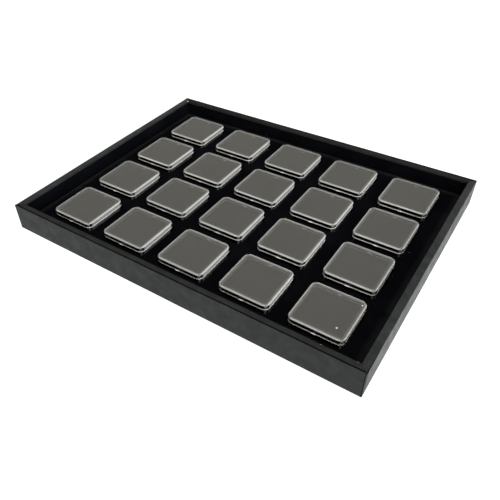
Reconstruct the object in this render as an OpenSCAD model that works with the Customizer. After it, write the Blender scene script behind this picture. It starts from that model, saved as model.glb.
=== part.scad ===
// Shallow display tray with a foam liner that holds a grid of clear square specimen boxes.
// Every box lifts out of its pocket and every lid lifts off its box.
// Sizes are in millimetres, +Z is up and +X runs along the long side.
// The origin is the middle of the underside, on the surface that the tray stands on.

/* [Tray frame] */
// Outer length of the tray, left to right
tray_length = 300; // [280:1:420]
// Outer width of the tray, front to back
tray_width = 231; // [222:1:360]
// Height of the rim above the surface that the tray stands on
tray_height = 23.5; // [20:0.5:40]
// Thickness of the fibreboard rails
rail_thickness = 4.5; // [3.5:0.1:8]
// Thickness of the base board
board_thickness = 2; // [1.5:0.1:4]
// How far the base board is let into the foot of each rail
board_let_in = 2; // [1:0.1:3]

/* [Covering] */
// Thickness of the grained black covering on the frame
wrap_thickness = 0.5; // [0.3:0.1:0.8]
// How far the covering turns down on the inside of the rim
lip_depth = 2; // [1:0.1:4]
// Distance from the outer face to the crease pressed along the top of the long sides
crease_inset = 0.5; // [0.3:0.1:1]
// Width of that crease
crease_width = 1.2; // [0.6:0.1:2]
// Depth of that crease
crease_depth = 0.2; // [0.1:0.05:0.25]
// Thickness of the felt sheet under the tray
backing_thickness = 0.4; // [0.3:0.1:1.5]
// Distance from the outer face to the edge of the felt sheet
backing_inset = 2.2; // [1:0.1:8]

/* [Liner] */
// Thickness of the velvet-faced card on the inside of the walls
wall_card = 0.7; // [0.5:0.1:1.5]
// Thickness of the velvet-faced paper on the floor
floor_card = 0.4; // [0.3:0.1:1]
// Thickness of the foam liner
liner_thickness = 7.6; // [5:0.1:9]
// Gap between the foam liner and the wall card
liner_gap = 0.3; // [0.2:0.1:1]
// Radius of the soft shoulder round the liner's top edge
shoulder_radius = 4; // [1:0.5:4.5]
// Gap between a specimen box and each wall of its pocket
pocket_gap = 0.3; // [0.2:0.05:0.8]

/* [Grid of boxes] */
// Number of boxes along the long side
columns = 5; // [2:1:5]
// Number of boxes along the short side
rows = 4; // [2:1:4]
// Distance from box to box along the long side
column_pitch = 54; // [48:0.5:58]
// Distance from box to box along the short side
row_pitch = 51; // [46:0.5:54]

/* [Specimen box] */
// Outer side of the square lid
lid_size = 40; // [34:0.5:43]
// Height of a closed box
box_height = 13.7; // [11:0.1:16]
// Height of the lid from the foot of its skirt to its top
lid_height = 4.4; // [3:0.1:6]
// Thickness of the lid's top
lid_top = 1.1; // [0.8:0.1:1.6]
// Thickness of the lid's skirt
lid_wall = 0.9; // [0.7:0.05:1.4]
// Radius of the lid's upright corners
lid_corner = 4.5; // [3.5:0.1:7]
// Radius of the round edge between the lid's top and its skirt
lid_edge = 0.8; // [0.4:0.1:1]
// Gap between the lid's skirt and the cup
lid_gap = 0.2; // [0.1:0.05:0.4]
// Thickness of the cup's walls
cup_wall = 1; // [0.8:0.05:1.5]
// Thickness of the cup's floor
cup_floor = 1.2; // [0.8:0.1:2]
// Width of the finger tab on the front and back of each lid
tab_width = 3.2; // [2:0.1:5]
// How far a finger tab stands out from the skirt
tab_reach = 0.5; // [0.3:0.1:0.8]
// Height of a finger tab
tab_height = 0.9; // [0.5:0.1:1.5]

/* [Hidden] */
$fn = 48;
SIDES = ["front", "right", "back", "left"];
GRID = [for (row = [0:rows - 1], column = [0:columns - 1]) [column, row]];
function cell_name(kind, cell) = str(kind, "_", chr(97 + cell[0]), cell[1] + 1);

// Heights, from the table up
wrap_bottom = backing_thickness;
rail_bottom = wrap_bottom + wrap_thickness;
rail_top = tray_height - wrap_thickness;
board_top = wrap_bottom + board_thickness;
floor_top = board_top + floor_card;
liner_top = floor_top + liner_thickness;
lip_bottom = tray_height - lip_depth;

// Distances in from the outer face of the tray
rail_inside = wrap_thickness + rail_thickness;
rim_inside = rail_inside + wrap_thickness;
card_inside = rail_inside + wall_card;
liner_inset = card_inside + liner_gap;
board_inset = rail_inside - board_let_in;
mitre_reach = 3 * rim_inside;

// Specimen box
cup_size = lid_size - 2 * (lid_wall + lid_gap);
cup_corner = lid_corner - lid_wall - lid_gap;
cup_height = box_height - lid_top;
lid_lift = box_height - lid_height;
pocket_size = cup_size + 2 * pocket_gap;

// Longer than any cut needs to pass right through a piece
through = 1;

// Centre of a cell of the grid, on the plane of the floor
function cell_centre(cell) = [
    (cell[0] - (columns - 1) / 2) * column_pitch,
    (cell[1] - (rows - 1) / 2) * row_pitch
];

// Flat block that leaves the same margin inside the tray's outline on all four sides
module inset_block(inset, low, high) {
    block_length = tray_length - 2 * inset;
    block_width = tray_width - 2 * inset;
    translate([-block_length / 2, -block_width / 2, low])
        cube([block_length, block_width, high - low]);
}

// Keeps the quarter of a frame that belongs to one side, cut at 45 degrees at both corners
module mitred(side) {
    turned = side == "left" || side == "right";
    along = (turned ? tray_width : tray_length) / 2;
    out = (turned ? tray_length : tray_width) / 2;
    angle = [0, 90, 180, 270][search([side], SIDES)[0]];
    intersection() {
        children();
        rotate([0, 0, angle])
            linear_extrude(tray_height)
                polygon([
                    [-along, -out],
                    [along, -out],
                    [along - mitre_reach, -out + mitre_reach],
                    [-along + mitre_reach, -out + mitre_reach]
                ]);
    }
}

// Fibreboard rail with a rabbet at its foot for the base board
module rail(side) {
    color("saddlebrown")
        mitred(side)
            difference() {
                inset_block(wrap_thickness, rail_bottom, rail_top);
                inset_block(rail_inside, rail_bottom - through, rail_top + through);
                inset_block(board_inset, rail_bottom - through, board_top);
            }
}

// Covering: outer face, top, a lip turned down inside and a margin turned under the rail
module wrap(side) {
    color([0.19, 0.2, 0.2])
        mitred(side)
            difference() {
                inset_block(0, wrap_bottom, tray_height);
                inset_block(wrap_thickness, rail_bottom, lip_bottom);
                inset_block(board_inset, wrap_bottom - through, rail_bottom + through);
                inset_block(rim_inside, lip_bottom - through, tray_height + through);
                difference() {
                    inset_block(wrap_thickness, lip_bottom - through, rail_top);
                    inset_block(rail_inside, lip_bottom - 2 * through, tray_height);
                }
                for (end = [-1, 1])
                    translate([0, end * (tray_width / 2 - crease_inset - crease_width / 2), tray_height])
                        cube([2 * tray_length, crease_width, 2 * crease_depth], center = true);
            }
}

// Velvet-faced card on the inside of one wall, under the lip of the covering
module wall_card_strip(side) {
    color([0.04, 0.04, 0.06])
        mitred(side)
            difference() {
                inset_block(rail_inside, board_top, lip_bottom);
                inset_block(card_inside, board_top - through, lip_bottom + through);
            }
}

module base_board() {
    color("burlywood") inset_block(board_inset, wrap_bottom, board_top);
}

module felt_backing() {
    color([0.1, 0.1, 0.11]) inset_block(backing_inset, 0, backing_thickness);
}

module floor_card_sheet() {
    color([0.05, 0.05, 0.07]) inset_block(card_inside, board_top, floor_top);
}

// Upright outline of the liner: square at the foot, with a round shoulder at each side
module shoulder_outline(width) {
    translate([-width / 2, 0])
        square([width, liner_thickness - shoulder_radius]);
    translate([-width / 2 + shoulder_radius, 0])
        square([width - 2 * shoulder_radius, liner_thickness]);
    intersection() {
        translate([-width / 2, 0])
            square([width, liner_thickness]);
        for (end = [-1, 1])
            translate([end * (width / 2 - shoulder_radius), liner_thickness - shoulder_radius])
                circle(shoulder_radius);
    }
}

// Whole liner without its pockets
module liner_envelope() {
    liner_length = tray_length - 2 * liner_inset;
    liner_width = tray_width - 2 * liner_inset;
    translate([0, 0, floor_top])
        intersection() {
            rotate([90, 0, 0])
                linear_extrude(liner_width, center = true)
                    shoulder_outline(liner_length);
            rotate([90, 0, 90])
                linear_extrude(liner_length, center = true)
                    shoulder_outline(liner_width);
        }
}

// Bands that hold one row, or one column, of pockets
module row_bands() {
    for (row = [0:rows - 1])
        translate([0, cell_centre([0, row])[1], liner_top / 2])
            cube([2 * tray_length, pocket_size, 2 * liner_top], center = true);
}

module column_bands() {
    for (column = [0:columns - 1])
        translate([cell_centre([column, 0])[0], 0, liner_top / 2])
            cube([pocket_size, 2 * tray_width, 2 * liner_top], center = true);
}

// Long foam strips, in front of, between and behind the rows of pockets
module liner_strips() {
    color([0.03, 0.03, 0.05])
        difference() {
            liner_envelope();
            row_bands();
        }
}

// Short foam blocks between the pockets of each row
module liner_blocks() {
    color([0.03, 0.03, 0.05])
        intersection() {
            difference() {
                liner_envelope();
                column_bands();
            }
            row_bands();
        }
}

// Square with round corners
module round_square(size, corner) {
    square([size, size - 2 * corner], center = true);
    square([size - 2 * corner, size], center = true);
    for (x = [-1, 1], y = [-1, 1])
        translate([x, y] * (size / 2 - corner))
            circle(corner);
}

// Square slab with round upright corners and a round edge along the top
module soft_slab(size, height, corner, edge) {
    straight = size - 2 * corner;
    ring = corner - edge;
    linear_extrude(height - edge) round_square(size, corner);
    linear_extrude(height) round_square(size - 2 * edge, ring);
    for (x = [-1, 1], y = [-1, 1])
        translate([x * straight / 2, y * straight / 2, height - edge])
            rotate_extrude()
                intersection() {
                    translate([ring, 0]) circle(edge);
                    square([corner, edge]);
                }
    for (angle = [0:90:270])
        rotate([0, 0, angle])
            translate([size / 2 - edge, 0, height - edge])
                rotate([90, 0, 0])
                    cylinder(r = edge, h = straight, center = true);
}

// Clear cup that stands in a pocket
module specimen_cup(cell) {
    color([0.85, 0.88, 0.9, 0.5])
        translate([cell_centre(cell)[0], cell_centre(cell)[1], floor_top])
            difference() {
                linear_extrude(cup_height) round_square(cup_size, cup_corner);
                translate([0, 0, cup_floor])
                    linear_extrude(cup_height)
                        round_square(cup_size - 2 * cup_wall, cup_corner - cup_wall);
            }
}

// Clear lid: its top rests on the cup's rim and its skirt goes round the cup
module specimen_lid(cell) {
    tab_radius = tab_width / 2;
    color([0.9, 0.92, 0.94, 0.5])
        translate([cell_centre(cell)[0], cell_centre(cell)[1], floor_top + lid_lift])
            difference() {
                union() {
                    soft_slab(lid_size, lid_height, lid_corner, lid_edge);
                    for (end = [-1, 1])
                        translate([0, end * (lid_size / 2 + tab_reach - tab_radius), 0])
                            cylinder(r = tab_radius, h = tab_height);
                }
                translate([0, 0, -through])
                    linear_extrude(lid_height - lid_top + through)
                        round_square(lid_size - 2 * lid_wall, lid_corner - lid_wall);
            }
}

rail("front");  // rail_front
rail("right");  // rail_right
rail("back");  // rail_back
rail("left");  // rail_left
wrap("front");  // wrap_front
wrap("right");  // wrap_right
wrap("back");  // wrap_back
wrap("left");  // wrap_left
wall_card_strip("front");  // wall_card_front
wall_card_strip("right");  // wall_card_right
wall_card_strip("back");  // wall_card_back
wall_card_strip("left");  // wall_card_left
base_board();
felt_backing();
floor_card_sheet();
liner_strips();
liner_blocks();
for (cell = GRID)
    specimen_cup(cell);
for (cell = GRID)
    specimen_lid(cell);
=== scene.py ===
import math

import bmesh
import bpy
from mathutils import Matrix, Quaternion, Vector, noise


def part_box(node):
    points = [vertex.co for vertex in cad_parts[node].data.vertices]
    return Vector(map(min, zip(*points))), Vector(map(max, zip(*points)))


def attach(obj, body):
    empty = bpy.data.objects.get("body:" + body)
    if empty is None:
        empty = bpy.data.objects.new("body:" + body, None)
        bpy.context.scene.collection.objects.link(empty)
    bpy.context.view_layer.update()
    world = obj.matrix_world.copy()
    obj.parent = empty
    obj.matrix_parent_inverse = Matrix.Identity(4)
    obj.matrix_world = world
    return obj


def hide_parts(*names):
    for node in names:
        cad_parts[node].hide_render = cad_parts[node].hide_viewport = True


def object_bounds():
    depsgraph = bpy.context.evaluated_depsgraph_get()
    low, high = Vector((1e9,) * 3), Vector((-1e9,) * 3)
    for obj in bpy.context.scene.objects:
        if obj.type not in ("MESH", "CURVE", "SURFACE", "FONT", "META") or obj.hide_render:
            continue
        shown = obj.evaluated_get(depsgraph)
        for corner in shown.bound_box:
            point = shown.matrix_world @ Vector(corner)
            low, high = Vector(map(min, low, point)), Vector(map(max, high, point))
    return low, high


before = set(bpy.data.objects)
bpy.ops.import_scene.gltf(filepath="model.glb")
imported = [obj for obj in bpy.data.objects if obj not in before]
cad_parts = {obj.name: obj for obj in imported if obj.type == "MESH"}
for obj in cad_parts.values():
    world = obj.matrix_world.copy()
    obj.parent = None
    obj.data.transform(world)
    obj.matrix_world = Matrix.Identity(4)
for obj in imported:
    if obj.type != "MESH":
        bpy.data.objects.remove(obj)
cadBox = [list(corner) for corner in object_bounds()]
mm = 0.001
slack = 0.01 * mm  # two places nearer than this count as one
noise.seed_set(1)  # without it the uneven coverings differ from run to run


def middleOf(node):
    low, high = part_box(node)
    return (low + high) / 2


def sizeOf(node):
    low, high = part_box(node)
    return high - low


# Sizes that many pieces share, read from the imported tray, whose middle is at the origin
halfLength, halfWidth, rimTop = cadBox[1]
rimWidth = sizeOf("wrap_front").y
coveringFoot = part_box("wrap_front")[0].z
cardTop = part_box("wall_card_front")[1].z
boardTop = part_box("base_board")[1].z
cellTags = sorted(name[4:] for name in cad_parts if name.startswith("cup_"))
columns = len({tag[0] for tag in cellTags})
rows = len({tag[1] for tag in cellTags})
print("frame loaded:", len(cellTags), "boxes in", columns, "columns and", rows, "rows")


# Camera and light

cameraSettings = {
    "place": (188.9 * mm, -308.7 * mm, 273.3 * mm),
    "aim": (11.5 * mm, -59.2 * mm, 10 * mm),
    "roll": -1.77,
    "lens": 38.53,
    "shiftX": 0.06,
}

lampSettings = {
    "overhead": {"place": (0.05, -0.1, 1.0), "aim": (0, 0, 0), "width": 0.9, "height": 0.7,
                 "power": 1.5, "colour": (1.0, 0.97, 0.92)},
    "rightSide": {"place": (1.15, -0.05, 0.36), "aim": (0.15, 0, 0), "width": 2.0, "height": 0.66,
                  "power": 31.0, "colour": (0.95, 0.98, 1.0)},
    "frontSide": {"place": (-0.3, -1.1, 0.4), "aim": (0, -0.1, 0), "width": 1.2, "height": 0.6,
                  "power": 2.0, "colour": (0.93, 0.97, 1.0)},
    "highFront": {"place": (0.5, -0.9, 1.1), "aim": (0, -0.02, 0), "width": 0.6, "height": 0.6,
                  "power": 12.0, "colour": (1.0, 0.99, 0.97)},
}

# What glossy and clear surfaces mirror, by height over the horizon, and the light on everything else
skySettings = {
    "horizon": (1.0, 1.0, 1.0, 1.0),
    "middle": (0.45, 0.425, 0.36, 1.0),
    "upper": (0.55, 0.52, 0.45, 1.0),
    "horizonHeight": 0.12,
    "middleHeight": 0.42,
    "upperHeight": 0.78,
    "ambient": (0.42, 0.43, 0.44, 1.0),
}

floorSettings = {"size": 6.0, "glow": 0.85, "colour": (0.34, 0.34, 0.34, 1.0)}


def turnedTo(place, aim, roll=0.0):
    look = (Vector(aim) - Vector(place)).to_track_quat("-Z", "Y")
    return look @ Quaternion((0, 0, 1), math.radians(roll))


def putInScene(name, data, place=(0, 0, 0), rotation=None):
    made = bpy.data.objects.new(name, data)
    made.location = place
    if rotation is not None:
        made.rotation_mode = "QUATERNION"
        made.rotation_quaternion = rotation
    bpy.context.scene.collection.objects.link(made)
    return made


def makeCamera(settings):
    data = bpy.data.cameras.new("photoCamera")
    data.lens = settings["lens"]
    data.shift_x = settings["shiftX"]
    turn = turnedTo(settings["place"], settings["aim"], settings["roll"])
    bpy.context.scene.camera = putInScene("photoCamera", data, settings["place"], turn)


def makeLamp(name, settings):
    data = bpy.data.lights.new(name, "AREA")
    data.shape = "RECTANGLE"
    data.size, data.size_y = settings["width"], settings["height"]
    data.energy = settings["power"]
    data.color = settings["colour"]
    made = putInScene(name, data, settings["place"], turnedTo(settings["place"], settings["aim"]))
    made.visible_glossy = made.visible_transmission = False  # no bright panels mirrored in the lids


# Wraps a node's output, so that shader maths reads as plain sums
class Value:
    def __init__(self, shader, socket):
        self.shader = shader
        self.socket = socket

    def maths(self, operation, first, second):
        return self.shader.node("ShaderNodeMath", {"operation": operation}, {0: first, 1: second})

    def __add__(self, other):
        return self.maths("ADD", self, other)

    def __radd__(self, other):
        return self.maths("ADD", other, self)

    def __sub__(self, other):
        return self.maths("SUBTRACT", self, other)

    def __rsub__(self, other):
        return self.maths("SUBTRACT", other, self)

    def __mul__(self, other):
        return self.maths("MULTIPLY", self, other)

    def __rmul__(self, other):
        return self.maths("MULTIPLY", other, self)

    def atLeast(self, other):
        return self.maths("MAXIMUM", self, other)


# A node tree, with one method that adds any node and short ones for what the finishes share
class Shader:
    def __init__(self, tree):
        self.tree = tree
        self.tree.nodes.clear()

    def node(self, kind, settings=None, inputs=None, output=0):
        made = self.tree.nodes.new(kind)
        for name, value in (settings or {}).items():
            setattr(made, name, value)
        for name, value in (inputs or {}).items():
            if isinstance(value, Value):
                self.tree.links.new(value.socket, made.inputs[name])
            else:
                made.inputs[name].default_value = value
        if made.outputs:
            return Value(self, made.outputs[output])

    def place(self):
        return self.node("ShaderNodeTexCoord", output="Object")

    def mark(self, name):
        return self.node("ShaderNodeAttribute", {"attribute_name": name}, output="Fac")

    def rayIs(self, kind):
        return self.node("ShaderNodeLightPath", output="Is %s Ray" % kind)

    def mixColours(self, share, first, second):
        # 6 and 7 are the Mix node's two colours going in, and 2 is the colour coming out
        return self.node("ShaderNodeMix", {"data_type": "RGBA"}, {0: share, 6: first, 7: second}, 2)

    def ramp(self, value, low, high):
        # From 0 at the low value to 1 at the high one
        return self.node("ShaderNodeMapRange", {"interpolation_type": "SMOOTHSTEP"},
                         {0: value, 1: low, 2: high})

    def noise(self, place, size, detail, roughness):
        return self.node("ShaderNodeTexNoise", {},
                         {"Vector": place, "Scale": 1 / size, "Detail": detail, "Roughness": roughness})

    def cells(self, place, size):
        return self.node("ShaderNodeTexVoronoi", {}, {"Vector": place, "Scale": 1 / size}, "Distance")

    def spots(self, place, spots):
        # Full at each listed spot and nothing outside its reach
        total = None
        for spot, reach in spots:
            away = self.node("ShaderNodeVectorMath", {"operation": "DISTANCE"}, {0: place, 1: spot}, "Value")
            one = 1 - self.ramp(away, reach / 2, reach)
            total = one if total is None else total.atLeast(one)
        return total

    def specks(self, place, spacing, reach, spots):
        # Specks strewn all over, with a core and an edge given as shares of the spacing, and the listed spots
        core, edge = reach
        return (1 - self.ramp(self.cells(place, spacing), core, edge)).atLeast(self.spots(place, spots))

    def bump(self, height, depth, strength=1.0):
        return self.node("ShaderNodeBump", {}, {"Height": height, "Distance": depth, "Strength": strength})

    def skin(self, colour, roughness, normal, shine, more=None):
        return self.node("ShaderNodeBsdfPrincipled", {}, {
            "Base Color": colour, "Roughness": roughness, "Normal": normal, "Specular IOR Level": shine,
            **(more or {})})

    def mixSkins(self, share, first, second):
        return self.node("ShaderNodeMixShader", {}, {0: share, 1: first, 2: second})

    def closeWith(self, surface, kind="ShaderNodeOutputMaterial"):
        self.node(kind, {}, {"Surface": surface})


def makeWorld(settings):
    world = bpy.data.worlds.new("studio")
    world.use_nodes = True
    bpy.context.scene.world = world
    shader = Shader(world.node_tree)
    direction = shader.node("ShaderNodeTexCoord", output="Generated")
    height = shader.node("ShaderNodeSeparateXYZ", {}, {"Vector": direction}, "Z")
    lift = shader.ramp(height, settings["horizonHeight"], settings["middleHeight"])
    mirrorColour = shader.mixColours(lift, settings["horizon"], settings["middle"])
    lift = shader.ramp(height, settings["middleHeight"], settings["upperHeight"])
    mirrorColour = shader.mixColours(lift, mirrorColour, settings["upper"])
    mirrored = shader.rayIs("Glossy").atLeast(shader.rayIs("Transmission"))
    colour = shader.mixColours(mirrored, settings["ambient"], mirrorColour)
    colour = shader.mixColours(shader.rayIs("Camera"), colour, settings["horizon"])
    light = shader.node("ShaderNodeBackground", {}, {"Color": colour, "Strength": 1.0})
    shader.closeWith(light, "ShaderNodeOutputWorld")


def newFinish(name):
    material = bpy.data.materials.new(name)
    material.use_nodes = True
    return material, Shader(material.node_tree)


def floorFinish(settings):
    # Glows for the camera and in mirrors only, and takes the tray's shadow
    material, shader = newFinish("paleFloor")
    seen = shader.rayIs("Camera").atLeast(shader.rayIs("Glossy")).atLeast(shader.rayIs("Transmission"))
    glow = shader.node("ShaderNodeEmission", {}, {"Color": (1, 1, 1, 1), "Strength": seen * settings["glow"]})
    paint = shader.node("ShaderNodeBsdfDiffuse", {}, {"Color": settings["colour"]})
    shader.closeWith(shader.node("ShaderNodeAddShader", {}, {0: glow, 1: paint}))
    return material


def makeFloor(settings):
    bm = bmesh.new()
    bmesh.ops.create_grid(bm, x_segments=1, y_segments=1, size=settings["size"] / 2)
    mesh = bpy.data.meshes.new("studioFloor")
    bm.to_mesh(mesh)
    bm.free()
    mesh.materials.append(floorFinish(settings))
    putInScene("studioFloor", mesh)


makeCamera(cameraSettings)
for lampName, lamp in lampSettings.items():
    makeLamp(lampName, lamp)
makeWorld(skySettings)
makeFloor(floorSettings)
print("camera, lamps and floor made")


# Finishes. A range holds the pattern's values at which a colour starts and is full. A noise pattern
# is given by its size, detail and roughness, and a spot by its place and reach.

coveringLook = {
    "colour": (0.0120, 0.0134, 0.0138, 1.0),
    "wornColour": (0.0250, 0.0274, 0.0280, 1.0),
    "wornRange": (0.38, 0.72),
    "wornShares": (0.7, 0.2, 0.15),
    "dullAndShadedColour": (0.0165, 0.0160, 0.0136, 1.0),
    "dullShare": 0.6,
    # Painted shade for the crease and the right rim's front edge, and the colour of the dark seams and mitres
    "creaseColour": (0.0035, 0.0035, 0.0036, 1.0),
    "scuffColour": (0.30, 0.30, 0.29, 1.0),
    "scuffRange": (0.3, 0.5),
    "scuffs": (((118.9 * mm, -110.3 * mm, 23.5 * mm), 0.55 * mm),
               ((142.3 * mm, -109.9 * mm, 23.4 * mm), 0.95 * mm),
               ((-144.6 * mm, 109.9 * mm, 23.3 * mm), 1.2 * mm)),
    "blotch": (9 * mm, 4.0, 0.6),
    "fine": (0.48 * mm, 2.0, 0.5),
    "pebble": 0.8 * mm,
    "fineBump": 0.5,
    "depth": 0.07 * mm,
    "bumpStrength": 0.8,
    "roughness": 0.46,
    "roughnessSpread": 0.14,
    "shine": 0.2,
}


def coveringFinish(look):
    # Pebbled skin with a worn sheen, dull where the mark "dull" says so, and dark where the crease mark says
    # so: painted shade in the rim's crease and along the right rim's front edge, and dark seams and mitres
    material, shader = newFinish("grainedCovering")
    place, crease, dull = shader.place(), shader.mark("crease"), shader.mark("dull")
    blotch, fine = shader.noise(place, *look["blotch"]), shader.noise(place, *look["fine"])
    pebble = shader.cells(place, look["pebble"])
    blotchShare, fineShare, pebbleShare = look["wornShares"]
    worn = shader.ramp(blotch * blotchShare + fine * fineShare + pebble * pebbleShare, *look["wornRange"])
    colour = shader.mixColours(worn, look["colour"], look["wornColour"])
    dullAndShadedColour = shader.mixColours(look["dullShare"], colour, look["dullAndShadedColour"])
    # Painted shade for the crease and the right rim's front edge, with the dark seams and mitres, mixed into
    # the matt colour
    dullAndShadedColour = shader.mixColours(crease, dullAndShadedColour, look["creaseColour"])
    scuff = shader.spots(place, look["scuffs"])
    colour = shader.mixColours(scuff * shader.ramp(fine, *look["scuffRange"]), colour, look["scuffColour"])
    roughness = look["roughness"] - worn * look["roughnessSpread"]
    bump = shader.bump(pebble + fine * look["fineBump"], look["depth"], look["bumpStrength"])
    shiny = shader.skin(colour, roughness, bump, look["shine"])
    matt = shader.skin(dullAndShadedColour, 1.0, bump, 0.0)
    # The crease mark also takes the shine away, so that the painted shade stays dark
    shader.closeWith(shader.mixSkins(crease.atLeast(dull) * (1 - scuff), shiny, matt))
    return material


velvetLook = {
    "colour": (0.0015, 0.0016, 0.0022, 1.0),
    "brushedColour": (0.0026, 0.0027, 0.0037, 1.0),
    "brush": (22 * mm, 3.0, 0.5),
    "brushRange": (0.35, 0.7),
    # Painted highlight on the liner's rounded outer shoulder
    "shoulderHighlightColour": (0.013, 0.0134, 0.0145, 1.0),
    "shoulderHighlightLeast": 0.6,
    "lintColour": (0.07, 0.07, 0.075, 1.0),
    "lint": (((131.3 * mm, 13.8 * mm, 10.3 * mm), 0.6 * mm),),
    "lintSpacing": 11 * mm,
    "lintReach": (0.021, 0.035),
    "pile": (0.28 * mm, 2.0, 0.7),
    "depth": 0.12 * mm,
    "bumpStrength": 0.6,
    "roughness": 0.95,
    "roughnessSpread": 0.1,
    "shine": 0.02,
    "sheen": {"Sheen Weight": 0.01, "Sheen Roughness": 0.4, "Sheen Tint": (0.75, 0.8, 1.0, 1.0)},
}


def velvetFinish(look):
    # Short pile with brush marks and lint, with a painted highlight on the liner's rounded outer shoulder,
    # broken up by the brush marks
    material, shader = newFinish("blackVelvet")
    place, shoulderHighlight = shader.place(), shader.mark("shoulderHighlight")
    brush = shader.ramp(shader.noise(place, *look["brush"]), *look["brushRange"])
    pile = shader.noise(place, *look["pile"])
    colour = shader.mixColours(brush, look["colour"], look["brushedColour"])
    # Painted highlight on the liner's shoulder
    highlightShare = shoulderHighlight * (look["shoulderHighlightLeast"] + brush * (1 - look["shoulderHighlightLeast"]))
    colour = shader.mixColours(highlightShare, colour, look["shoulderHighlightColour"])
    lint = shader.specks(place, look["lintSpacing"], look["lintReach"], look["lint"])
    colour = shader.mixColours(lint, colour, look["lintColour"])
    roughness = look["roughness"] - brush * look["roughnessSpread"]
    bump = shader.bump(pile, look["depth"], look["bumpStrength"])
    shader.closeWith(shader.skin(colour, roughness, bump, look["shine"], look["sheen"]))
    return material


feltLook = {
    "colour": (0.010, 0.010, 0.011, 1.0),
    "fibreColour": (0.021, 0.021, 0.023, 1.0),
    "fibreRange": (0.35, 0.68),
    "fibre": (0.5 * mm, 5.0, 0.75),
    "patch": (7 * mm, 3.0, 0.5),
    "patchShare": 0.4,
    "depth": 0.15 * mm,
    "bumpStrength": 0.8,
    "roughness": 0.97,
    "roughnessSpread": 0.1,
    "shine": 0.15,
    "sheen": {"Sheen Weight": 0.15},
}


def feltFinish(look):
    material, shader = newFinish("pressedFelt")
    place = shader.place()
    fibre, patch = shader.noise(place, *look["fibre"]), shader.noise(place, *look["patch"])
    mottled = shader.ramp(fibre * (1 - look["patchShare"]) + patch * look["patchShare"], *look["fibreRange"])
    colour = shader.mixColours(mottled, look["colour"], look["fibreColour"])
    roughness = look["roughness"] - fibre * look["roughnessSpread"]
    bump = shader.bump(fibre, look["depth"], look["bumpStrength"])
    shader.closeWith(shader.skin(colour, roughness, bump, look["shine"], look["sheen"]))
    return material


boardLook = {
    "colour": (0.125, 0.085, 0.052, 1.0),
    "fibreColour": (0.20, 0.145, 0.095, 1.0),
    "fibreRange": (0.3, 0.7),
    "fibre": (0.9 * mm, 4.0, 0.7),
    "depth": 0.05 * mm,
    "roughness": 0.85,
    "roughnessSpread": 0.15,
    "shine": 0.3,
}


def boardFinish(look):
    material, shader = newFinish("rawFibreboard")
    fibre = shader.noise(shader.place(), *look["fibre"])
    colour = shader.mixColours(shader.ramp(fibre, *look["fibreRange"]), look["colour"], look["fibreColour"])
    roughness = look["roughness"] - fibre * look["roughnessSpread"]
    shader.closeWith(shader.skin(colour, roughness, shader.bump(fibre, look["depth"]), look["shine"]))
    return material


plasticLook = {
    "colour": (0.965, 0.98, 0.985, 1.0),
    # Colour of the pale matt skin that gives the painted highlights, the haze and the dust
    "hazeAndGlintColour": (0.95, 0.94, 0.91, 1.0),
    "haze": (3.5 * mm, 4.0, 0.65),
    "hazeRange": (0.45, 0.8),
    "hazeAndGlintLeast": 0.75,
    "hazeAndGlintSpread": 0.5,
    "hazeAndGlintRoughness": 0.6,
    "hazeAndGlintShine": 0.3,
    "dustColour": (0.9, 0.9, 0.88, 1.0),
    "dust": (((119.4 * mm, -87.7 * mm, 16.5 * mm), 0.7 * mm),
             ((125.3 * mm, -61.1 * mm, 16.4 * mm), 0.6 * mm)),
    "dustSpacing": 13 * mm,
    "dustReach": (0.007, 0.014),
    "dustShare": 0.9,
    "ior": 1.56,
    "roughness": 0.03,
    "roughnessSpread": 0.04,
    "shine": 0.5,
    "ripple": (11 * mm, 1.0, 0.5),
    "depth": 0.004 * mm,
}


def plasticFinish(look):
    # Clear body, made milky by as much as the frost mark says, which is a little real haze and mostly painted
    # highlights on the edges, with a few specks of dust
    material, shader = newFinish("clearPolystyrene")
    place, hazeAndGlint = shader.place(), shader.mark("hazeAndGlint")
    haze, ripple = shader.noise(place, *look["haze"]), shader.noise(place, *look["ripple"])
    roughness = shader.ramp(haze, *look["hazeRange"]) * look["roughnessSpread"] + look["roughness"]
    bump = shader.bump(ripple, look["depth"])
    clear = shader.skin(look["colour"], roughness, bump, look["shine"],
                        {"IOR": look["ior"], "Transmission Weight": 1.0})
    dust = shader.specks(place, look["dustSpacing"], look["dustReach"], look["dust"])
    hazeGlintAndDustColour = shader.mixColours(dust, look["hazeAndGlintColour"], look["dustColour"])
    # A pale matt skin that paints the highlights on the edges, and gives the haze and the dust
    hazeAndGlintSkin = shader.skin(hazeGlintAndDustColour, look["hazeAndGlintRoughness"], bump, look["hazeAndGlintShine"])
    hazeAndGlint = hazeAndGlint * (haze * look["hazeAndGlintSpread"] + look["hazeAndGlintLeast"])
    share = hazeAndGlint.atLeast(dust * look["dustShare"])
    shader.closeWith(shader.mixSkins(share, clear, hazeAndGlintSkin))
    return material


foamLook = {
    "colour": (0.0018, 0.0018, 0.0020, 1.0),
    "wallColour": (0.0042, 0.0042, 0.0045, 1.0),
    "wallRange": (0.25, 0.6),
    "pore": 0.45 * mm,
    "depth": 0.03 * mm,
    "roughness": 0.95,
    "roughnessSpread": 0.1,
    "shine": 0.01,
}


def foamFinish(look):
    material, shader = newFinish("blackFoam")
    pore = shader.cells(shader.place(), look["pore"])
    colour = shader.mixColours(shader.ramp(pore, *look["wallRange"]), look["colour"], look["wallColour"])
    roughness = look["roughness"] - pore * look["roughnessSpread"]
    shader.closeWith(shader.skin(colour, roughness, shader.bump(pore, look["depth"]), look["shine"]))
    return material


covering = coveringFinish(coveringLook)
velvet = velvetFinish(velvetLook)
felt = feltFinish(feltLook)
board = boardFinish(boardLook)
plastic = plasticFinish(plasticLook)
foam = foamFinish(foamLook)
print("finishes made")


# Help for the meshes

def vertsOf(geometry):
    return [part for part in geometry if isinstance(part, bmesh.types.BMVert)]


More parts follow.
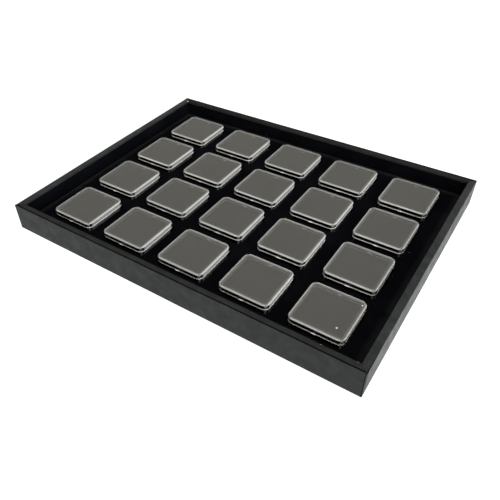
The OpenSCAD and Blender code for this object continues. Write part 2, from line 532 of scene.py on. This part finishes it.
def near(first, second):
    return abs(first - second) < slack


def level(face):
    return abs(face.normal.z) > 0.9


def roundEdges(bm, edges, radius, segments):
    bmesh.ops.bevel(bm, geom=edges, offset=radius, affect="EDGES", segments=segments,
                    profile=0.5, material=-1, clamp_overlap=True)


def cutAt(bm, spot, normal, faces=None, dropOuter=False):
    # Cuts all of the mesh, or only the given faces, along a plane
    if faces is None:
        parts = bm.verts[:] + bm.edges[:] + bm.faces[:]
    else:
        around = [v for f in faces for v in f.verts] + [e for f in faces for e in f.edges]
        parts = list(dict.fromkeys(around)) + faces
    bmesh.ops.bisect_plane(bm, geom=parts, dist=slack / 100, plane_co=spot, plane_no=normal,
                           clear_outer=dropOuter)


def cutAcross(bm, axis, distance):
    normal = Vector((0, 0, 0))
    normal[axis] = 1
    cutAt(bm, normal * distance, normal)


def cutEvenly(bm, axis, low, high, step):
    count = max(1, round((high - low) / step))
    for number in range(1, count):
        cutAcross(bm, axis, low + (high - low) * number / count)


def makeUneven(bm, size, amount):
    # The same shift at the same spot on every piece, so that seams stay closed
    for vert in bm.verts:
        vert.co += noise.noise_vector(vert.co / size) * amount
    bm.normal_update()


def sinkUnevenly(vert, size, amount):
    # Down by half of the amount, give or take the noise
    vert.co.z -= (0.5 + noise.noise(vert.co / size)) * amount


def finishPiece(bm, name, body, material, stoodFor=()):
    mesh = bpy.data.meshes.new(name)
    for face in bm.faces:
        face.smooth = True
    bm.to_mesh(mesh)
    bm.free()
    mesh.materials.append(material)
    piece = putInScene(name, mesh)
    piece.modifiers.new("flatFacesStayFlat", "WEIGHTED_NORMAL")
    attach(piece, body)
    if stoodFor:
        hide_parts(*stoodFor)
    return piece


# Tray: coverings, wall cards, floor, felt and boards

sideAngles = {"front": 0, "right": 90, "back": 180, "left": 270}


def longEdgesAt(bm, y, z):
    return [edge for edge in bm.edges if all(near(v.co.y, y) and near(v.co.z, z) for v in edge.verts)]


def sweepSide(side, outline, rounds, slices, facing):
    # Sheet along one side of the tray, mitred at both ends. The outline holds each corner's distance
    # in from the tray's outer face and its height, and a round holds a corner's number, its radius and
    # its segments. The side is made in the front's place and not yet turned. Its outermost faces look
    # out of the tray where facing is -1, and into it where it is 1.
    half, out = (halfLength, halfWidth) if side in ("front", "back") else (halfWidth, halfLength)
    bm = bmesh.new()
    ends = [bm.verts.new((-half, inward - out, height)) for inward, height in outline]
    edges = [bm.edges.new(pair) for pair in zip(ends, ends[1:])]
    swept = bmesh.ops.extrude_edge_only(bm, edges=edges)["geom"]
    bmesh.ops.translate(bm, vec=(2 * half, 0, 0), verts=vertsOf(swept))
    for number, radius, segments in rounds:
        inward, height = outline[number]
        roundEdges(bm, longEdgesAt(bm, inward - out, height), radius, segments)
    longEdges = [e for e in bm.edges if near(abs(e.verts[0].co.x - e.verts[1].co.x), 2 * half)]
    bmesh.ops.subdivide_edges(bm, edges=longEdges, cuts=slices, use_grid_fill=True)
    for end in (-1, 1):
        cutAt(bm, (end * half, -out, 0), (end, 1, 0), dropOuter=True)
    bmesh.ops.recalc_face_normals(bm, faces=bm.faces[:])
    outermost = min(bm.faces, key=lambda face: face.calc_center_median().y)
    if outermost.normal.y * facing < 0:
        bmesh.ops.reverse_faces(bm, faces=bm.faces[:])
    return bm, half, out


def turnSide(bm, side):
    turn = Matrix.Rotation(math.radians(sideAngles[side]), 3, "Z")
    bmesh.ops.rotate(bm, cent=(0, 0, 0), matrix=turn, verts=bm.verts[:])


def thicken(bm, thickness, ceiling):
    # Gives a side its wall, with all faces outward
    bmesh.ops.solidify(bm, geom=bm.faces[:], thickness=thickness)
    for vert in bm.verts:
        vert.co.z = min(vert.co.z, ceiling)  # no spike at the mitred corners
    bmesh.ops.recalc_face_normals(bm, faces=bm.faces[:])
    if bm.calc_volume(signed=True) < 0:
        bmesh.ops.reverse_faces(bm, faces=bm.faces[:])


# The front's and back's coverings have a crease along the rim and turn round the upright corners onto flaps.
# Each Band, Line and Inward bounds a dark mark: painted shade in the crease, at the front's left corner and
# along the right rim's front edge, and dark seams and mitres down the upright corners.
coveringSettings = {
    "thickness": 0.45 * mm,
    "edgeRound": 0.55 * mm,
    "margin": 3 * mm,
    "creaseStart": 0.35 * mm,
    "creaseEnd": 1.75 * mm,
    "creaseLean": 0.25 * mm,
    "creaseDepth": 0.34 * mm,
    "creaseRound": 0.12 * mm,
    "slices": 60,
    "unevenSize": 34 * mm,
    "unevenness": 0.11 * mm,
    "mostAbove": 0.06 * mm,
    "flapWidth": 1.4 * mm,
    "flapStand": 0.1 * mm,
    "flapRound": 0.8 * mm,
    "seamWidth": 1.6 * mm,
    "seamCuts": (0.2, 0, -0.6, -1),
    "seamDark": (-0.1, 0.7),
    "mitreWidth": 0.35 * mm,
    "mitreDark": 0.6,
    "dull": {"front": 0.72, "right": 0.12, "back": 0.95, "left": 0.15},
    "outerDull": {"front": 0.36, "right": 0.25, "back": 0.36, "left": 0.25},
    "topBand": 0.8 * mm,
    "edgeBand": 1.0 * mm,
    "creaseFrom": 0.1 * mm,
    "cornerShadeReach": 4.5 * mm,
    "cornerInward": 2 * mm,
    "cornerLine": 0.95 * mm,
    "faceBand": 1.0 * mm,
    "faceInward": 0.6 * mm,
    "edgeShadeLength": 26 * mm,
    "markSlack": 0.05 * mm,
}


def coveringOutline(creased, settings):
    # From the margin under the rail, up the outside and over the rim to the end of the lip
    outline = [(settings["margin"], coveringFoot), (0, coveringFoot), (0, rimTop)]
    if creased:
        start, end, lean = settings["creaseStart"], settings["creaseEnd"], settings["creaseLean"]
        deep = rimTop - settings["creaseDepth"]
        outline += [(start, rimTop), (start + lean, deep), (end - lean, deep), (end, rimTop)]
    else:
        outline.append((settings["edgeBand"], rimTop))
    return outline + [(rimWidth, rimTop), (rimWidth, cardTop)]


def makeCovering(side, settings):
    creased = side in ("front", "back")
    outline = coveringOutline(creased, settings)
    topRound = settings["creaseRound" if creased else "edgeRound"]
    rounds = [(1, settings["edgeRound"], 3), (2, topRound, 3), (len(outline) - 2, settings["edgeRound"], 4)]
    if creased:
        rounds += [(number, settings["creaseRound"], 2) for number in (3, 4, 5, 6)]
    bm, half, out = sweepSide(side, outline, rounds, settings["slices"], -1)
    if creased:
        addFlaps(bm, half, out, settings)
        insets = [settings["cornerLine"]]
    else:
        insets = [settings["flapWidth"] - step * settings["seamWidth"] for step in settings["seamCuts"]]
    for end in (-1, 1):
        for inset in insets:
            cutAcross(bm, 0, end * (half - inset))
    cutAcross(bm, 2, rimTop - settings["faceBand"])
    cutBesideMitres(bm, half, out, settings)
    markCovering(bm, side, half, out, settings)
    turnSide(bm, side)
    makeUneven(bm, settings["unevenSize"], settings["unevenness"])
    thicken(bm, settings["thickness"], rimTop + settings["mostAbove"])
    finishPiece(bm, "covering_" + side, "tray", covering, ["wrap_" + side])


def addFlaps(bm, half, out, settings):
    # The long sides' covering turns round each upright corner onto the short side
    for end in (-1, 1):
        wall = [edge for edge in bm.edges if edge.is_boundary
                and all(near(v.co.x, end * half) and near(v.co.y, -out) for v in edge.verts)]
        turned = bmesh.ops.extrude_edge_only(bm, edges=wall)["geom"]
        stand = (end * settings["flapStand"], settings["flapWidth"], 0)
        bmesh.ops.translate(bm, vec=stand, verts=vertsOf(turned))
        roundEdges(bm, [e for e in wall if e.is_valid], settings["flapRound"], 3)


def cutBesideMitres(bm, half, out, settings):
    # A line across the rim's top beside each mitre, so that its dark edge stays narrow
    lowest = rimTop - settings["topBand"]
    for end in (-1, 1):
        tops = [f for f in bm.faces if abs(f.normal.z) > 0.5 and f.calc_center_median().z > lowest]
        cutAt(bm, (end * (half - settings["mitreWidth"]), -out, 0), (end, 1, 0), tops)


def markCovering(bm, side, half, out, settings):
    # Painted shade in the crease, at the front's left corner and along the right rim's front edge, dark at
    # the mitres, along the seams and down the upright corners, and more or less dull by side
    crease = bm.verts.layers.float.new("crease")
    dull = bm.verts.layers.float.new("dull")
    touch = settings["markSlack"]
    for vert in bm.verts:
        inward = vert.co.y + out
        fromStart = vert.co.x + half
        fromEnd = min(fromStart, half - vert.co.x)
        onTop = vert.co.z > rimTop - settings["topBand"]
        if side in ("front", "back"):
            low = vert.co.z < rimTop - settings["creaseDepth"] * 0.5
            # Painted shade in the rim's crease and at the front's left corner
            inCrease = onTop and low and settings["creaseFrom"] < inward < settings["creaseEnd"]
            inCorner = (side == "front" and onTop and inward < settings["cornerInward"]
                        and fromStart < settings["cornerShadeReach"])
            onFlapEnd = fromEnd < 0 and inward > settings["flapWidth"] - 2 * touch
            onCorner = fromEnd < settings["flapRound"] + touch and inward < settings["faceInward"]
            vert[crease] = 1.0 if inCrease or inCorner or onFlapEnd or onCorner else 0.0
            onRim = onTop and inward > settings["creaseEnd"] - touch
        else:
            seamStart, seamEnd = settings["seamDark"]
            seamPlace = (fromEnd - settings["flapWidth"]) / settings["seamWidth"]
            onSeam = seamStart < seamPlace < seamEnd and inward < settings["faceInward"]
            onEdge = onTop and inward < settings["edgeRound"] + touch and side == "right"
            # Painted shade along the right rim's outer edge, fading away from the front
            edgeShade = max(0.0, 1 - fromStart / settings["edgeShadeLength"]) if onEdge else 0.0
            vert[crease] = 1.0 if onSeam else edgeShade ** 0.5
            onRim = onTop and inward > settings["edgeRound"] - touch
        vert[dull] = settings["dull" if onRim else "outerDull"][side]
        if onTop and near(fromEnd, inward):
            vert[crease] = max(vert[crease], settings["mitreDark"])


cardSettings = {
    "inward": 5.7 * mm,
    "sink": 0.15 * mm,
    "thickness": 0.6 * mm,
    "topDepth": 0.36 * mm,
    "topRound": 0.25 * mm,
    "slices": 40,
    "unevenSize": 30 * mm,
    "unevenness": 0.1 * mm,
}


def makeWallCard(side, settings):
    inward, top = settings["inward"], cardTop - settings["sink"]
    outline = [(inward, boardTop), (inward, top), (inward - settings["topDepth"], top)]
    bm, half, out = sweepSide(side, outline, [(1, settings["topRound"], 3)], settings["slices"], 1)
    turnSide(bm, side)
    makeUneven(bm, settings["unevenSize"], settings["unevenness"])
    thicken(bm, settings["thickness"], rimTop)
    finishPiece(bm, "velvet_wall_" + side, "tray", velvet, ["wall_card_" + side])


sheetSettings = {
    "felt_backing": {"name": "felt_sheet", "slot": "felt", "corner": 2.5 * mm, "round": 0.12 * mm,
                     "step": 12 * mm, "unevenSize": 25 * mm, "unevenness": 0.05 * mm},
    "floor_card_sheet": {"name": "velvet_floor", "slot": "velvet_card", "corner": 0.5 * mm, "round": 0.1 * mm,
                         "step": 12 * mm, "unevenSize": 25 * mm, "unevenness": 0.03 * mm},
}


def raiseBlock(bm, low, high):
    # Makes a flat shape a closed block from height low to height high
    bmesh.ops.translate(bm, vec=(0, 0, low), verts=bm.verts[:])
    risen = bmesh.ops.extrude_face_region(bm, geom=bm.faces[:])["geom"]
    bmesh.ops.translate(bm, vec=(0, 0, high - low), verts=vertsOf(risen))
    bmesh.ops.recalc_face_normals(bm, faces=bm.faces[:])


def roundedBlock(size, corner, segments, low, high):
    bm = bmesh.new()
    bmesh.ops.create_grid(bm, x_segments=1, y_segments=1, size=0.5)
    bmesh.ops.scale(bm, vec=(size[0], size[1], 1), verts=bm.verts[:])
    bmesh.ops.bevel(bm, geom=bm.verts[:], offset=corner, affect="VERTICES", segments=segments,
                    profile=0.5, material=-1)
    raiseBlock(bm, low, high)
    return bm


def edgesAtHeight(bm, height):
    # Level edges at one height where a level face meets an upright one
    return [edge for edge in bm.edges if all(near(v.co.z, height) for v in edge.verts)
            and sum(level(face) for face in edge.link_faces) == 1]


def makeSheet(node, settings, material):
    low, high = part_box(node)
    bm = roundedBlock((high.x - low.x, high.y - low.y), settings["corner"], 4, low.z, high.z)
    roundEdges(bm, edgesAtHeight(bm, high.z) + edgesAtHeight(bm, low.z), settings["round"], 2)
    cutEvenly(bm, 0, low.x, high.x, settings["step"])
    cutEvenly(bm, 1, low.y, high.y, settings["step"])
    for vert in bm.verts:
        if vert.co.z > (low.z + high.z) / 2:
            sinkUnevenly(vert, settings["unevenSize"], settings["unevenness"])
    finishPiece(bm, settings["name"], "tray", material, [node])


for side in sideAngles:
    makeCovering(side, coveringSettings)
    makeWallCard(side, cardSettings)
makeSheet("felt_backing", sheetSettings["felt_backing"], felt)
makeSheet("floor_card_sheet", sheetSettings["floor_card_sheet"], velvet)
for nodeName in ["rail_" + side for side in sideAngles] + ["base_board"]:
    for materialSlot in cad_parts[nodeName].material_slots:
        materialSlot.material = board
print("tray made")


# Liner: one foam sheet under velvet, with a pocket for each box

linerSettings = {
    "pocketGap": 0.3 * mm,
    "pocketCorner": 3.6 * mm,
    "pocketRound": 0.9 * mm,
    "shoulder": 4 * mm,
    # How far down and in from the outline the liner's shoulder gets its painted highlight
    "highlightHeight": 3.2 * mm,
    "highlightWidth": 3.8 * mm,
    "outlineCorner": 3 * mm,
    "firstInset": 5 * mm,
    "step": 7 * mm,
    "unevenSize": 16 * mm,
    "unevenness": 0.22 * mm,
}


def linerBlank(low, high, settings):
    # One cell for each box with its square pocket cut out, spread to the liner's outline and raised
    first, last = middleOf("cup_" + cellTags[0]), middleOf("cup_" + cellTags[-1])
    pitch = Vector(((last.x - first.x) / (columns - 1), (last.y - first.y) / (rows - 1)))
    pocket = sizeOf("cup_" + cellTags[0]).x + 2 * settings["pocketGap"]
    bm = bmesh.new()
    bmesh.ops.create_grid(bm, x_segments=columns, y_segments=rows, size=0.5)
    bmesh.ops.scale(bm, vec=(columns * pitch.x, rows * pitch.y, 1), verts=bm.verts[:])
    pockets = bm.faces[:]
    bmesh.ops.inset_individual(bm, faces=pockets, thickness=settings["firstInset"])
    stretch = [pocket / (reach - 2 * settings["firstInset"]) for reach in pitch]
    for face in pockets:
        centre = Matrix.Translation(-face.calc_center_median())
        bmesh.ops.scale(bm, vec=(*stretch, 1), space=centre, verts=face.verts[:])
    border = bmesh.ops.extrude_edge_only(bm, edges=[e for e in bm.edges if e.is_boundary])["geom"]
    spread = ((high.x - low.x) / (columns * pitch.x), (high.y - low.y) / (rows * pitch.y), 1)
    bmesh.ops.scale(bm, vec=spread, verts=vertsOf(border))
    bmesh.ops.delete(bm, geom=pockets, context="FACES")
    raiseBlock(bm, low.z, high.z)
    return bm


def uprightEdges(bm):
    return [e for e in bm.edges if (e.verts[0].co - e.verts[1].co).to_2d().length < slack]


def fromOutline(vert, high):
    return min(high.x - abs(vert.co.x), high.y - abs(vert.co.y))


def roundLiner(bm, high, settings):
    def onSides(vert):
        # How many of the liner's outer walls the vertex lies in
        return near(abs(vert.co.x), high.x) + near(abs(vert.co.y), high.y)

    roundEdges(bm, [e for e in uprightEdges(bm) if onSides(e.verts[0]) == 0], settings["pocketCorner"], 5)
    roundEdges(bm, [e for e in uprightEdges(bm) if onSides(e.verts[0]) == 2], settings["outlineCorner"], 5)
    tops = edgesAtHeight(bm, high.z)
    outer = [e for e in tops if fromOutline(e.verts[0], high) < settings["outlineCorner"]]
    roundEdges(bm, [e for e in tops if e not in outer], settings["pocketRound"], 3)
    roundEdges(bm, [e for e in outer if e.is_valid], settings["shoulder"], 6)


def makeLiner(settings):
    low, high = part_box("liner_strips")
    bm = linerBlank(low, high, settings)
    roundLiner(bm, high, settings)
    cutEvenly(bm, 0, low.x, high.x, settings["step"])
    cutEvenly(bm, 1, low.y, high.y, settings["step"])
    # Marks where the velvet gets its painted highlight, along the liner's rounded outer shoulder
    shoulderHighlight = bm.verts.layers.float.new("shoulderHighlight")
    for vert in bm.verts:
        isHigh = vert.co.z > high.z - settings["highlightHeight"]
        vert[shoulderHighlight] = 1.0 if isHigh and fromOutline(vert, high) < settings["highlightWidth"] else 0.0
        if vert.co.z > high.z - settings["shoulder"]:
            sinkUnevenly(vert, settings["unevenSize"], settings["unevenness"])
    piece = finishPiece(bm, "velvet_liner", "tray", velvet, ["liner_strips", "liner_blocks"])


makeLiner(linerSettings)
print("liner made")


# Boxes: a clear cup, its foam pad and its lid

def levelFaceAt(bm, height):
    # Level face at one height that lies nearest the middle, so not the rim round it
    found = [face for face in bm.faces if level(face) and all(near(v.co.z, height) for v in face.verts)]
    return min(found, key=lambda face: face.calc_center_median().to_2d().length)


def hollowOut(bm, face, wall, depth):
    # Moves the middle of a level face by a depth along z, and leaves a wall round it
    bmesh.ops.inset_region(bm, faces=[face], thickness=wall, use_even_offset=True)
    sunk = bmesh.ops.extrude_face_region(bm, geom=[face])["geom"]
    bmesh.ops.translate(bm, vec=(0, 0, depth), verts=vertsOf(sunk))
    bmesh.ops.delete(bm, geom=[face], context="FACES")
    bmesh.ops.recalc_face_normals(bm, faces=bm.faces[:])


def holdFlat(bm, height, margin):
    # A ring of support just inside a level face, so that the round edge doesn't shade across it
    bmesh.ops.inset_region(bm, faces=[levelFaceAt(bm, height)], thickness=margin, use_even_offset=True)


# Each Frost is how milky that part of the clear wall is painted: the lid's top has a little real haze, and
# the rims, crests, bands, feet, tabs, corners and sides get painted highlights
cupSettings = {
    "wall": 1.0 * mm,
    "floor": 1.2 * mm,
    "corner": 3.4 * mm,
    "rimRound": 0.22 * mm,
    "rimFade": 0.3 * mm,
    "footRound": 0.5 * mm,
    "insideRound": 0.35 * mm,
    "flatMargin": 0.3 * mm,
    "rimHazeAndGlint": 0.42,
    "cornerHazeAndGlint": 0.07,
    "sideHazeAndGlint": 0.1,
    "wallHazeAndGlint": 0.0,
}


def cupMesh(settings):
    size = sizeOf("cup_" + cellTags[0])
    bm = roundedBlock((size.x, size.y), settings["corner"], 7, 0, size.z)
    hollowOut(bm, levelFaceAt(bm, size.z), settings["wall"], settings["floor"] - size.z)
    roundEdges(bm, edgesAtHeight(bm, size.z), settings["rimRound"], 2)
    roundEdges(bm, edgesAtHeight(bm, 0), settings["footRound"], 3)
    roundEdges(bm, edgesAtHeight(bm, settings["floor"]), settings["insideRound"], 2)
    holdFlat(bm, 0, settings["flatMargin"])
    holdFlat(bm, settings["floor"], settings["flatMargin"])
    cutAcross(bm, 2, size.z - settings["rimRound"] - settings["rimFade"])
    markCup(bm, size, settings)
    return bm


def markCup(bm, size, settings):
    # Paints highlights on the rim, corners and sides of the cup
    hazeAndGlint = bm.verts.layers.float.new("hazeAndGlint")
    for vert in bm.verts:
        onRim = vert.co.z > size.z - settings["rimRound"] - slack
        onCorner = min(abs(vert.co.x), abs(vert.co.y)) > size.x / 2 - settings["corner"] / 2
        onSide = near(abs(vert.co.x), size.x / 2)
        part = "rim" if onRim else "corner" if onCorner else "side" if onSide else "wall"
        vert[hazeAndGlint] = settings[part + "HazeAndGlint"]


# The lid's crest, band, foot, tab, corner and side frost are painted highlights, and its top frost is real
# haze
lidSettings = {
    "wall": 0.9 * mm,
    "top": 1.1 * mm,
    "corner": 4.5 * mm,
    "edgeRound": 0.8 * mm,
    "rimRound": 0.18 * mm,
    "insideRound": 0.3 * mm,
    "flatMargin": 0.35 * mm,
    "bandWidth": 2.2 * mm,
    "footBand": 0.5 * mm,
    "footFade": 0.12 * mm,
    "crestMargin": 0.1 * mm,
    "tabWidth": 3.2 * mm,
    "tabReach": 0.5 * mm,
    "tabHeight": 0.9 * mm,
    "crestHazeAndGlint": 0.31,
    "bandHazeAndGlint": 0.085,
    "topHazeAndGlint": 0.032,
    "cornerHazeAndGlint": 0.16,
    "sideHazeAndGlint": 0.2,
    "skirtHazeAndGlint": 0.0,
    "insideHazeAndGlint": 0.0,
    "footHazeAndGlint": 0.9,
    "tabHazeAndGlint": 0.85,
}


def lidMesh(settings):
    width, height = sizeOf("lid_" + cellTags[0]).xz
    ceiling = height - settings["top"]
    bm = roundedBlock((width, width), settings["corner"], 7, 0, height)
    hollowOut(bm, levelFaceAt(bm, 0), settings["wall"], ceiling)
    addTabs(bm, width, settings)
    roundEdges(bm, edgesAtHeight(bm, height), settings["edgeRound"], 5)
    roundEdges(bm, edgesAtHeight(bm, 0), settings["rimRound"], 2)
    roundEdges(bm, edgesAtHeight(bm, ceiling), settings["insideRound"], 2)
    holdFlat(bm, height, settings["flatMargin"])
    holdFlat(bm, height, settings["bandWidth"])
    holdFlat(bm, ceiling, settings["flatMargin"])
    cutAcross(bm, 2, settings["footBand"])
    cutAcross(bm, 2, settings["footBand"] + settings["footFade"])
    markLid(bm, width, height, settings)
    return bm


def addTabs(bm, width, settings):
    # A finger tab at the middle of the skirt's lower rim, front and back
    half, top = settings["tabWidth"] / 2, settings["tabHeight"]
    cuts = (((-half, 0, 0), (1, 0, 0)), ((half, 0, 0), (1, 0, 0)), ((0, 0, top), (0, 0, 1)))
    for end in (-1, 1):
        for spot, normal in cuts:
            cutAt(bm, spot, normal, skirtFaces(bm, end * width / 2))
        tab = [f for f in skirtFaces(bm, end * width / 2)
               if abs(f.calc_center_median().x) < half and f.calc_center_median().z < top]
        stood = bmesh.ops.extrude_face_region(bm, geom=tab)["geom"]
        bmesh.ops.translate(bm, vec=(0, end * settings["tabReach"], 0), verts=vertsOf(stood))
        bmesh.ops.delete(bm, geom=[f for f in tab if f.is_valid], context="FACES")


def skirtFaces(bm, y):
    return [f for f in bm.faces if abs(f.normal.y) > 0.9 and near(f.calc_center_median().y, y)]


def markLid(bm, width, height, settings):
    # Paints highlights on the crest, band, foot, tabs, corners and sides, and a little real haze on the top
    hazeAndGlint = bm.verts.layers.float.new("hazeAndGlint")
    flat = width / 2 - settings["edgeRound"] - settings["flatMargin"]
    for vert in bm.verts:
        x, y, z = abs(vert.co.x), abs(vert.co.y), vert.co.z
        reach = max(x, y)
        if y > width / 2 + slack:
            part = "tab"
        elif z < settings["footBand"] + slack:
            part = "foot"
        elif width / 2 - reach >= slack and z <= height - settings["top"] + slack:
            part = "inside"
        elif z > height - settings["edgeRound"] + slack:
            onTop = reach < flat - settings["bandWidth"] / 2
            part = "top" if onTop else "crest" if reach > flat + settings["crestMargin"] else "band"
        elif min(x, y) > width / 2 - settings["corner"] / 2:
            part = "corner"
        else:
            part = "side" if near(x, width / 2) else "skirt"
        vert[hazeAndGlint] = settings[part + "HazeAndGlint"]


padSettings = {
    "gap": 0.35 * mm,
    "thickness": 10.4 * mm,
    "corner": 2.2 * mm,
    "edgeRound": 0.9 * mm,
    "crown": 0.25 * mm,
    "step": 5 * mm,
}


def padMesh(settings):
    width = sizeOf("cup_" + cellTags[0]).x - 2 * cupSettings["wall"] - 2 * settings["gap"]
    height = settings["thickness"]
    bm = roundedBlock((width, width), settings["corner"], 4, 0, height)
    roundEdges(bm, edgesAtHeight(bm, height) + edgesAtHeight(bm, 0), settings["edgeRound"], 3)
    cutEvenly(bm, 0, -width / 2, width / 2, settings["step"])
    cutEvenly(bm, 1, -width / 2, width / 2, settings["step"])
    for vert in bm.verts:
        if vert.co.z > height / 2:
            outward = 2 * max(abs(vert.co.x), abs(vert.co.y)) / width
            vert.co.z -= settings["crown"] * outward * outward
    return bm


def placeCopy(base, place, name, body, material, stoodFor=()):
    bm = base.copy()
    bmesh.ops.translate(bm, vec=place, verts=bm.verts[:])
    return finishPiece(bm, name, body, material, stoodFor)


def footOf(node):
    spot = middleOf(node)
    spot.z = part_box(node)[0].z
    return spot


cupBase, lidBase, padBase = cupMesh(cupSettings), lidMesh(lidSettings), padMesh(padSettings)
for tag in cellTags:
    cup, lid, box = "cup_" + tag, "lid_" + tag, "box_" + tag
    placeCopy(cupBase, footOf(cup), "clear_cup_" + tag, box, plastic, [cup])
    placeCopy(lidBase, footOf(lid), "clear_lid_" + tag, "cover_" + tag, plastic, [lid])
    padPlace = footOf(cup) + Vector((0, 0, cupSettings["floor"]))
    pad = placeCopy(padBase, padPlace, "foam_pad_" + tag, box, foam)
print("boxes made")

bpy.context.scene.view_settings.view_transform = "Standard"
bpy.context.view_layer.update()
